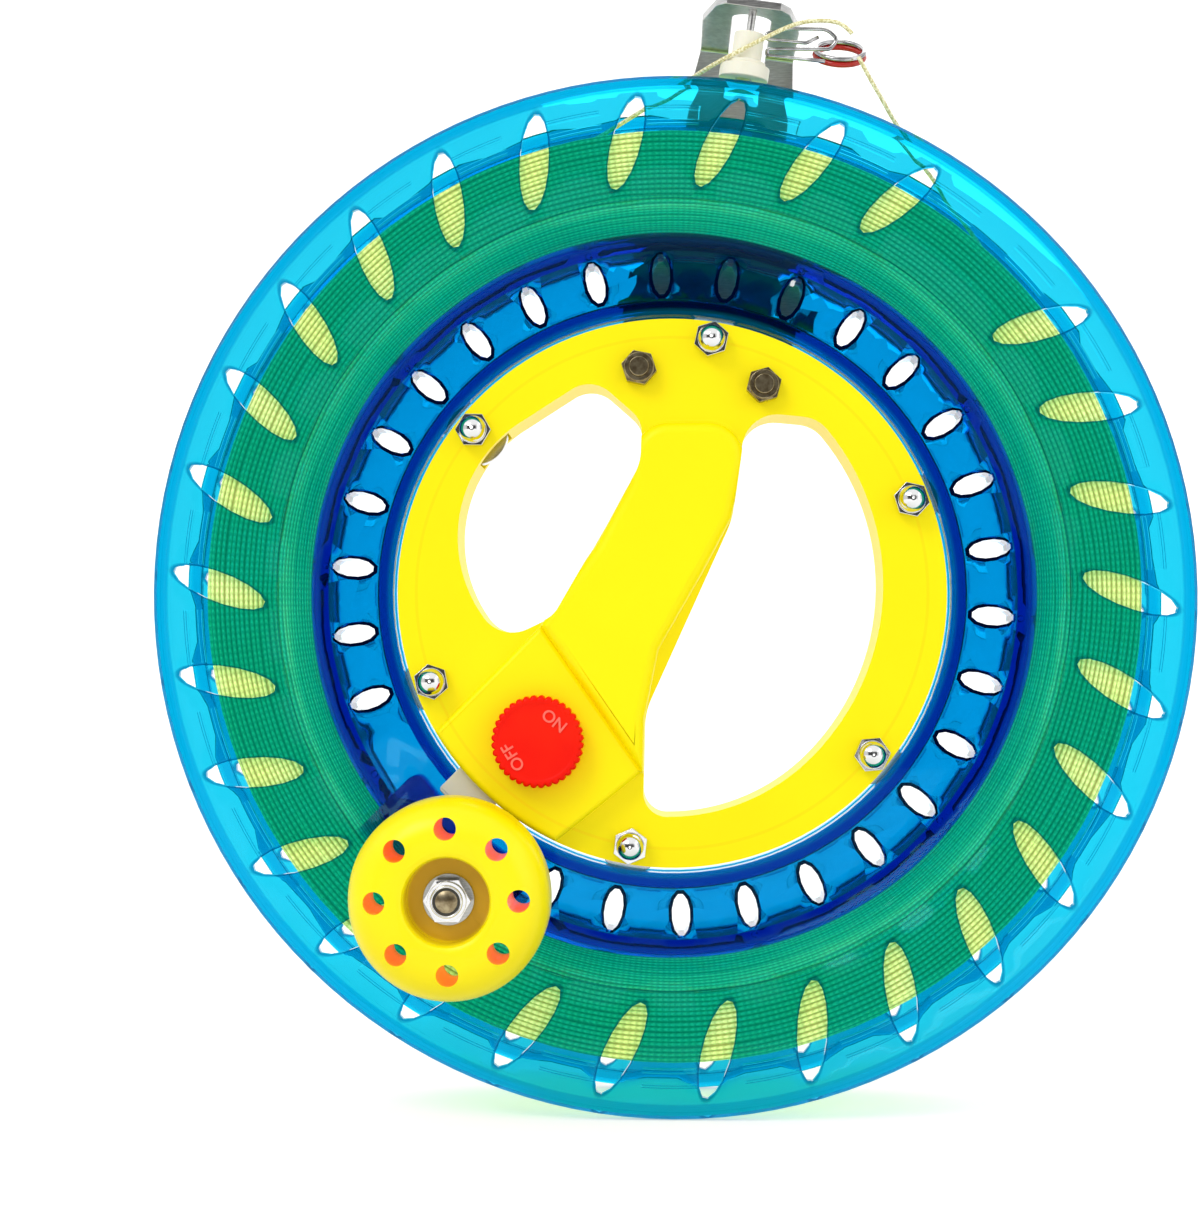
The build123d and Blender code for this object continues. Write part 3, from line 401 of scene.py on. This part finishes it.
# the twist: slanted dashes every 1.7 mm along the line, bent to arrows by its round crest
twist = (z.turn(x) * 420.0 + crest * 2.6).sin() * 0.5 + 0.5
# below 99 mm, on the slope, the line is given its own colour and glow
on_slope = 1.0 - line_reach.step(98.6, 99.8)
sloped = kite_line.mix(on_slope, lit, (0.46, 0.80, 0.55, 1))
# painted shade: the grooves between the turns are painted darker than the lit tops
painted_groove_shade = kite_line.mix(on_slope, (0.28, 0.24, 0.02, 1), (0.10, 0.32, 0.16, 1))
kite_line.set("Base Color", kite_line.mix(crest * (0.48 + fleck + twist * 0.28), painted_groove_shade, sloped))
# painted light: the line glows though it is no lamp, brightest on the tops of its turns
painted_line_glow = kite_line.mix(on_slope, (0.32, 0.94, 0.19, 1), (0.05, 0.72, 0.19, 1))
kite_line.set("Emission Color", kite_line.mix(crest * (0.55 + twist * 0.45), (0.04, 0.20, 0.03, 1), painted_line_glow))
kite_line.set("Emission Strength", 0.66)
kite_line.set("Sheen Weight", 0.25)
kite_line.relief(grain, 0.00012, 0.8)
line_width = 0.0011
pack_radius = 0.117
layer_height = 0.00045     # how far a turn stands out of the pack's side
rng = np.random.default_rng(7)


def give_crest(piece, values):
    """Keeps how high on its turn each point lies, 0 in the groove and 1 on top, for the finish, which
    paints shade into the grooves and light onto the tops.
    """
    piece.data.attributes.new("crest", "FLOAT", "POINT").data.foreach_set("value", values)


def pack_side(name, side):
    """One face of the pack: rings of line up the flange's slope from the middle ring to the
    top layer. Each ring is a half round as wide as the line, and wanders by a slow wave."""
    rings = 26
    across = np.linspace(0, rings, rings * 6 + 1)
    turn = np.linspace(0, 2 * math.pi, 241)[:-1]
    slope_radius = np.array([0.0931, 0.0985, 0.1000, pack_radius - 0.0004])
    slope_depth = np.array([0.0069, 0.0184, 0.0193, 0.0207])
    run = np.concatenate([[0.0], np.cumsum(np.hypot(np.diff(slope_radius), np.diff(slope_depth)))])
    radius = np.interp(across / rings * run[-1], run, slope_radius)
    lean = np.interp(across / rings * run[-1], run, slope_depth)
    bump = np.abs(np.sin(math.pi * across)) * layer_height
    wave = np.zeros((len(across), len(turn)))
    for count, size in ((3, 0.00016), (7, 0.00012), (13, 0.00006)):
        shift = np.repeat(rng.uniform(0, 2 * math.pi, rings + 1), 6)[:len(across)]
        wave += size * np.sin(count * turn[None, :] + shift[:, None] * 0.35)
    depth = np.broadcast_to((lean - 0.00055 + bump)[:, None], wave.shape)
    reach_now = radius[:, None] + wave
    face = patch(name, np.stack([reach_now * np.cos(turn), -side * depth, reach_now * np.sin(turn)], -1),
                 wrap_v=True)
    crest = (np.abs(np.sin(math.pi * across)) ** 1.1)[:, None] * np.ones(len(turn))
    give_crest(face, crest.ravel())
    return face


for name, side in (("pack_face_front", 1), ("pack_face_rear", -1)):
    face = pack_side(name, side)
    if side < 0:
        face.data.flip_normals()
    face.data.materials.append(kite_line.material)
    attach(face, "wheel")

winding_turns = 38
steps = 96
along = np.linspace(0, winding_turns, winding_turns * steps + 1)
across_pack = np.linspace(-0.0199, 0.0199, len(along))
angle = along * 2 * math.pi
wander = 0.00022 * np.sin(angle * 3 / 7 + 1.0) + 0.00013 * np.sin(angle * 1.37)
swell = 0.00016 * np.sin(angle * 0.31) + 0.0001 * np.sin(angle * 2.0 + 1.2)
top = pack_radius - line_width / 2 + swell
centre = np.stack([top * np.cos(angle), across_pack + wander, top * np.sin(angle)], -1)


def turned_rows(radius, depth, turn, centre_x=0.0, centre_z=0.0):
    """A profile swept round an axis along Y: x = centre + radius cos turn, y = depth,
    z = centre + radius sin turn, one row for each point of the profile."""
    radius, depth, turn = np.broadcast_arrays(radius[:, None], depth[:, None], turn[None, :])
    return np.stack([centre_x + radius * np.cos(turn), depth, centre_z + radius * np.sin(turn)], -1)


def cord_mesh(name, centre, radius, sides=6):
    """A round tube: at each point of the path, a circle across the path's direction."""
    centre = np.asarray(centre, float)
    ahead = np.gradient(centre, axis=0)
    ahead /= np.linalg.norm(ahead, axis=1)[:, None]
    side = np.cross(ahead, (0.0, 1.0, 0.001))
    side /= np.linalg.norm(side, axis=1)[:, None]
    over = np.cross(ahead, side)
    spin = np.arange(sides) * 2 * math.pi / sides
    ring = np.cos(spin)[None, :, None] * side[:, None, :] + np.sin(spin)[None, :, None] * over[:, None, :]
    return outward(patch(name, centre[:, None, :] + radius * ring, wrap_v=True, caps=True))


wound = cord_mesh("wound_line", centre, line_width / 2 * 1.03, 6)
# the loose turns sit near the top of a crest, so they take the lit colour and the painted light of the
# tops
give_crest(wound, np.full(len(wound.data.vertices), 0.92))
wound.data.materials.append(kite_line.material)
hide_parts("line_winding", "line_core")
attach(wound, "wheel")
core_turn = np.linspace(0, 2 * math.pi, 145)[:-1]
core_profile = np.array([(-0.0196, 0.1162), (0.0196, 0.1162), (0.0170, 0.0990), (0.0056, 0.0937),
                         (-0.0056, 0.0937), (-0.0170, 0.0990)])
core = outward(patch("pack_inside", turned_rows(core_profile[:, 1], core_profile[:, 0], core_turn),
                     wrap_u=True, wrap_v=True))
core.data.materials.append(kite_line.material)
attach(core, "wheel")

# ---- hub plates --------------------------------------------------------------------
# Two plates of opaque yellow nylon with the hand openings, bolted together round six
# bearings. The front one carries the raised brake housing.
yellow = Finish("yellow_nylon", Roughness=0.38)
cloud = yellow.noise(9.0, 3.0, 0.6)
x, y, z = yellow.place()
yellow_tone = yellow.mix(cloud.step(0.3, 0.75), (0.96, 0.79, 0.0, 1), (1.0, 0.86, 0.0, 1))
# painted shade: a faint darker ring at 65 mm, standing in for the shading line of a ridge there
away_from_ridge_shade = ((x * x + z * z).root() * 1000.0 - 65.0).size().step(0.25, 0.5)
yellow.set("Base Color", yellow.mix(away_from_ridge_shade * 0.2 + 0.8, (0.80, 0.52, 0.0, 1), yellow_tone))
yellow.set("Specular IOR Level", 0.16)
# painted light: the plate glows faintly though it is no lamp, to brighten its yellow
yellow.set("Emission Color", (1.0, 0.80, 0.0, 1))
yellow.set("Emission Strength", 0.06)
yellow.relief(yellow.noise(900.0, 2.0, 0.5) + yellow.noise(60.0, 1.0, 0.5) * 2.0, 0.00003, 0.6)
dressed("front_hub_plate", "yellow_front_plate", "hub", yellow, 28.0, 0.00035)
dressed("rear_hub_plate", "yellow_rear_plate", "hub", yellow, 28.0, 0.00035)

# ---- bearings -----------------------------------------------------------------------
# Six ground steel ball bearings between the plates, on whose outer rings the wheel turns.
ground = Finish("ground_steel", Metallic=1.0, Roughness=0.22)
ground.set("Base Color", (0.62, 0.62, 0.64, 1))
ground.relief(ground.noise(1500.0, 2.0, 0.5, (1.0, 12.0, 1.0)), 0.00001, 0.5)
for number in range(1, 7):
    dressed("bearing_%d" % number, "outer_race_%d" % number, "bearing_body_%d" % number, ground,
            30.0, 0.00012)
dressed("bearing_inner_races", "inner_races", "hub", ground, 30.0, 0.00012)

# ---- hub bolts and acorn nuts -----------------------------------------------------------
# Six bright plated bolts from behind, closed in front by domed nuts.
plated = Finish("bright_plating", Metallic=1.0, Roughness=0.09)
smudge = plated.noise(420.0, 3.0, 0.6)
plated.set("Base Color", (0.70, 0.70, 0.70, 1))
plated.set("Roughness", 0.06 + smudge.step(0.4, 0.8) * 0.16)
plated.relief(plated.noise(900.0, 2.0, 0.5), 0.00001, 0.4)
dressed("acorn_nuts", "domed_nuts", "hub", plated, 26.0, 0.00018)
dressed("hub_bolts", "plated_bolts", "hub", plated, 30.0, 0.00015)

# ---- crank ---------------------------------------------------------------------------------
# A yellow knob that turns on a brass sleeve on a steel stud in the wheel's pad, held by
# a lock nut and washer down in its recess.
knob_yellow = Finish("yellow_knob_nylon", Roughness=0.30)
knob_yellow.set("Specular IOR Level", 0.28)
x, y, z = knob_yellow.place()
knob_x, knob_z = x + 0.054226, z + 0.075186
off_axis = (knob_x * knob_x + knob_z * knob_z).root() * 1000.0
inward = knob_yellow.tree.nodes.new("ShaderNodeSeparateXYZ")
turned_face = knob_yellow.node("ShaderNodeNewGeometry", {}, {}, "Normal")
knob_yellow.tree.links.new(turned_face.socket, inward.inputs[0])
sideways = 1.0 - Sock(knob_yellow.tree, inward.outputs[1]).size().step(0.4, 0.8)
# painted light: the hole walls are painted orange and made to glow, standing in for light that comes
# through the translucent nylon
painted_hole_glow = sideways * off_axis.step(13.8, 14.4) * (1.0 - off_axis.step(20.2, 20.6))
# painted shade: the recess's floor is painted a darker brown
recess = (1.0 - off_axis.step(9.6, 10.8)) * y.step(-0.0466, -0.0440)
knob_tone = knob_yellow.mottled((0.96, 0.79, 0.0), (1.0, 0.86, 0.0), 30.0, span=(0.3, 0.75))
knob_tone = knob_yellow.mix(recess * 0.8, knob_tone, (0.55, 0.25, 0.012, 1))
knob_yellow.set("Base Color", knob_yellow.mix(painted_hole_glow * 0.9, knob_tone, (0.95, 0.36, 0.01, 1)))
# painted light: the whole knob glows faintly though it is no lamp, and the hole walls glow most
knob_yellow.set("Emission Color", knob_yellow.mix(painted_hole_glow, (0.14, 0.11, 0.0, 1), (0.66, 0.17, 0.0, 1)))
knob_yellow.set("Emission Strength", 0.40)
knob_yellow.relief(knob_yellow.noise(700.0, 2.0, 0.5), 0.00002, 0.5)
dressed("crank_knob", "yellow_knob", "crank_knob_body", knob_yellow, 32.0, 0.0005, 3)
brass = Finish("turned_brass", Metallic=1.0, Roughness=0.24)
brass.set("Base Color", (0.62, 0.40, 0.14, 1))
brass.relief(brass.noise(1200.0, 2.0, 0.5, (1.0, 0.1, 1.0)), 0.00001, 0.5)
steel = Finish("brushed_stainless", Metallic=1.0, Roughness=0.30)
streak = steel.noise(340.0, 3.0, 0.65, (1.0, 1.0, 9.0))
steel.set("Base Color", steel.mix(streak.step(0.3, 0.8), (0.46, 0.46, 0.45, 1), (0.66, 0.66, 0.65, 1)))
steel.set("Roughness", 0.22 + streak * 0.2)
steel.relief(streak, 0.00002, 0.5)
zinc = Finish("bronze_zinc", Metallic=1.0, Roughness=0.3)
zinc.set("Base Color", zinc.mottled((0.20, 0.15, 0.08), (0.42, 0.35, 0.22), 500.0, 2.0, 0.6, (0.3, 0.7)))
dressed("crank_sleeve", "brass_sleeve", "wheel", brass, 30.0, 0.0001)
dressed("crank_stud", "steel_stud", "wheel", zinc, 30.0)
dressed("crank_washer", "steel_washer", "wheel", steel, 30.0, 0.00012)
dressed("crank_lock_nut", "knob_lock_nut", "wheel", plated, 30.0, 0.00018)

nut_low, nut_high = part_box("crank_lock_nut")
nut_x, nut_z = (nut_low.x + nut_high.x) / 2, (nut_low.z + nut_high.z) / 2


def lathed(name, profile, centre_x, centre_z, finish, body, sides=64, sharp=40):
    """A turned piece on an axis along Y: the profile's radius and depth swept round it."""
    turn = np.linspace(0, 2 * math.pi, sides + 1)[:-1]
    radius, depth = np.array(profile).T
    rows = turned_rows(radius, -depth, turn, centre_x, centre_z)
    piece = outward(patch(name, rows, wrap_v=True, wrap_u=True))
    piece.data.materials.append(finish.material)
    piece.data.set_sharp_from_angle(angle=math.radians(sharp))
    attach(piece, body)
    return piece


nut_top = -nut_low.y
collar_turn = np.linspace(0, math.pi, 12)
collar = [(0.0036 + 0.00040 * math.cos(t), nut_top + 0.0001 + 0.0007 * math.sin(t)) for t in collar_turn]
lathed("nut_collar", collar + [(0.0032, nut_top - 0.0006), (0.0040, nut_top - 0.0006)],
       nut_x, nut_z, plated, "wheel")
dark_nylon = Finish("dark_nylon", Roughness=0.5)
dark_nylon.set("Base Color", dark_nylon.mottled((0.02, 0.02, 0.015), (0.05, 0.045, 0.03), 900.0))
lathed("nut_insert", [(0.0026, nut_top - 0.0006), (0.0033, nut_top - 0.0006), (0.0033, nut_top + 0.00030),
                      (0.0026, nut_top + 0.00030)], nut_x, nut_z, dark_nylon, "wheel")

# ---- brake -----------------------------------------------------------------------------------
# A natural nylon block that a screw with a scalloped red knob presses on the wheel.
nylon = Finish("natural_nylon", Roughness=0.42)
nylon.set("Base Color", (0.84, 0.82, 0.68, 1))
nylon.set("Subsurface Weight", 0.25)
nylon.set("Subsurface Radius", (0.004, 0.003, 0.002))
nylon.relief(nylon.noise(500.0, 2.0, 0.5), 0.00003, 0.5)
dressed("brake_block", "nylon_block", "brake_block_body", nylon, 30.0, 0.0003)
dressed("brake_insert", "brass_insert", "hub", brass, 30.0)
dressed("brake_screw", "steel_screw", "brake_knob_body", steel, 30.0)
red = Finish("red_nylon", Roughness=0.36)
red.set("Specular IOR Level", 0.12)
red.set("Base Color", red.mottled((0.90, 0.006, 0.0), (0.96, 0.014, 0.0), 70.0, span=(0.3, 0.8)))
red.relief(red.noise(700.0, 2.0, 0.5), 0.00003, 0.5)
knob_axis = np.array([-0.033517, -0.037759])
rim_turn = np.linspace(0, 2 * math.pi, 289)[:-1]


def scallops(turn, count, depth):
    """A fall below the full radius that repeats round the knob: full lobes, narrow grooves."""
    return depth * (1.0 - np.abs(np.sin(count * turn / 2)) ** 0.7)


# radius, depth, and how much of the scallops each row takes
rows = [(0.0, 0.0178, 0), (0.0100, 0.0178, 0), (0.0110, 0.0179, 1), (0.01155, 0.0184, 1),
        (0.01160, 0.0190, 1), (0.01160, 0.0224, 1), (0.01145, 0.0232, 1), (0.01085, 0.0237, 0.6),
        (0.0100, 0.0238, 0), (0.0096, 0.0236, 0),
        (0.0092, 0.0235, 0), (0.0, 0.0235, 0)]
knob_rows = []
for radius, depth, share in rows:
    edge = radius - share * scallops(rim_turn, 36, 0.00075)
    knob_rows.append(np.stack([knob_axis[0] + edge * np.cos(rim_turn), np.full(len(rim_turn), -depth),
                               knob_axis[1] + edge * np.sin(rim_turn)], -1))
red_knob = outward(patch("red_knob", np.stack(knob_rows), wrap_v=True))
red_knob.data.materials.append(red.material)
red_knob.data.set_sharp_from_angle(angle=math.radians(50))
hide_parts("brake_knob")
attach(red_knob, "brake_knob_body")


def lettering(name, word, size, across, rise, lean, depth):
    """Raised letters, lying on the knob's face: text turned to a mesh, stood up to face the
    front, turned by its lean and moved to its place."""
    data = bpy.data.curves.new(name, "FONT")
    data.body = word
    data.size = size
    data.extrude = 0.00022
    data.bevel_depth = 0.00006
    data.align_x = "CENTER"
    data.align_y = "CENTER"
    text = bpy.data.objects.new(name + "_text", data)
    scene.collection.objects.link(text)
    bpy.context.view_layer.update()
    mesh = bpy.data.meshes.new_from_object(text.evaluated_get(bpy.context.evaluated_depsgraph_get()))
    bpy.data.objects.remove(text)
    points = np.zeros(len(mesh.vertices) * 3)
    mesh.vertices.foreach_get("co", points)
    points = points.reshape(-1, 3)
    turned = math.radians(lean)
    flat_x = points[:, 0] * math.cos(turned) - points[:, 1] * math.sin(turned) + across
    flat_z = points[:, 0] * math.sin(turned) + points[:, 1] * math.cos(turned) + rise
    place = np.stack([flat_x, -(depth + points[:, 2]), flat_z], -1)
    mesh.vertices.foreach_set("co", place.ravel())
    mesh.update()
    piece = outward(bpy.data.objects.new(name, mesh))
    scene.collection.objects.link(piece)
    mesh.materials.clear()
    return piece


letter_red = Finish("worn_red", Roughness=0.5)
letter_red.set("Base Color", letter_red.mottled((0.95, 0.10, 0.07), (1.0, 0.20, 0.15), 900.0))
for word, spot, away in (("OFF", 212.0, 0.0070), ("ON", 51.0, 0.0066)):
    across = knob_axis[0] + away * math.cos(math.radians(spot))
    rise = knob_axis[1] + away * math.sin(math.radians(spot))
    letters = lettering("letters_" + word.lower(), word, 0.0042, across, rise, spot - 90.0, 0.0236)
    letters.data.materials.append(letter_red.material)
    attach(letters, "brake_knob_body")

# ---- line guide ----------------------------------------------------------------------------------
# A bent strip of stainless sheet, bolted behind the hub, that reaches over the rim. The
# line runs through the slot in its tongue and over a nylon roller.
dressed("line_guide_bracket", "steel_guide", "hub", steel, 30.0, 0.0003)
dressed("guide_roller", "nylon_roller", "roller", nylon, 30.0, 0.0003)
dressed("guide_roller_pin", "roller_pin", "hub", steel, 30.0, 0.0002)
dressed("bracket_bolts", "guide_bolts", "hub", zinc, 30.0, 0.0002)
dressed("bracket_lock_nuts", "guide_lock_nuts", "hub", zinc, 30.0, 0.0002)

# ---- line's ends ---------------------------------------------------------------------------------
# The line's loose end runs over the roller to a small steel ring, and its tail hangs
# from the knot there back over the rim.


free_finish = Finish("twisted_line", Roughness=0.6)
ply = free_finish.noise(1800.0, 1.0, 0.5)
free_tone = free_finish.mix(ply.step(0.38, 0.62), (0.62, 0.56, 0.24, 1), (0.95, 0.92, 0.62, 1))
free_finish.set("Base Color", free_tone)
free_finish.relief(ply, 0.00015, 0.9)


def free_line(name, points, node):
    """A smooth curve with the route's points as its control points, as thick as the line."""
    data = bpy.data.curves.new(name, "CURVE")
    data.dimensions = "3D"
    data.resolution_u = 12
    data.bevel_depth = line_width / 2
    data.bevel_resolution = 3
    data.use_fill_caps = True
    spline = data.splines.new("NURBS")
    spline.points.add(len(points) - 1)
    flat = np.ones((len(points), 4))
    flat[:, :3] = np.array(points) / 1000.0
    spline.points.foreach_set("co", flat.ravel())
    spline.order_u = 3
    spline.use_endpoint_u = True
    data.materials.append(free_finish.material)
    piece = bpy.data.objects.new(name, data)
    scene.collection.objects.link(piece)
    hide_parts(node)
    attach(piece, "hub")
    return piece


lead_route = [
    (-25.1, -2.0, 115.2), (-17.0, -4.4, 119.2), (-8.6, -8.0, 123.6), (-0.8, -12.0, 127.6),
    (6.0, -16.4, 131.2), (11.6, -21.2, 133.6), (17.3, -25.5, 135.6), (25.2, -25.3, 139.6),
    (30.2, -22.6, 142.6), (34.2, -20.4, 144.4), (38.4, -19.2, 145.0), (42.2, -19.4, 144.7),
    (45.0, -19.9, 143.3), (46.6, -20.2, 141.3)]
tail_route = [
    (48.2, -20.0, 135.3), (51.0, -18.6, 130.2), (54.2, -17.0, 125.2), (57.3, -15.4, 119.8),
    (61.2, -13.6, 114.6), (64.6, -11.8, 109.2), (68.6, -10.2, 104.2), (72.0, -8.8, 99.0),
    (76.0, -7.6, 94.2), (79.6, -6.8, 89.2), (82.8, -6.2, 84.2)]
free_line("line_end_lead", lead_route, "line_lead")
free_line("line_end_tail", tail_route, "line_tail")
red_paint = Finish("red_enamel", Roughness=0.25)
red_paint.set("Base Color", (0.50, 0.014, 0.007, 1))
red_paint.relief(red_paint.noise(900.0, 2.0, 0.5), 0.00002, 0.5)
wire = Finish("polished_wire", Metallic=1.0, Roughness=0.16)
wire.set("Base Color", wire.mottled((0.22, 0.22, 0.23), (0.60, 0.60, 0.60), 260.0, span=(0.3, 0.7)))
dressed("snap_ring", "end_ring", "hub", wire, 50.0)
dressed("red_ring", "red_end_ring", "hub", red_paint, 50.0)
dressed("snap_hook", "wire_snap", "hub", wire, 64.0)
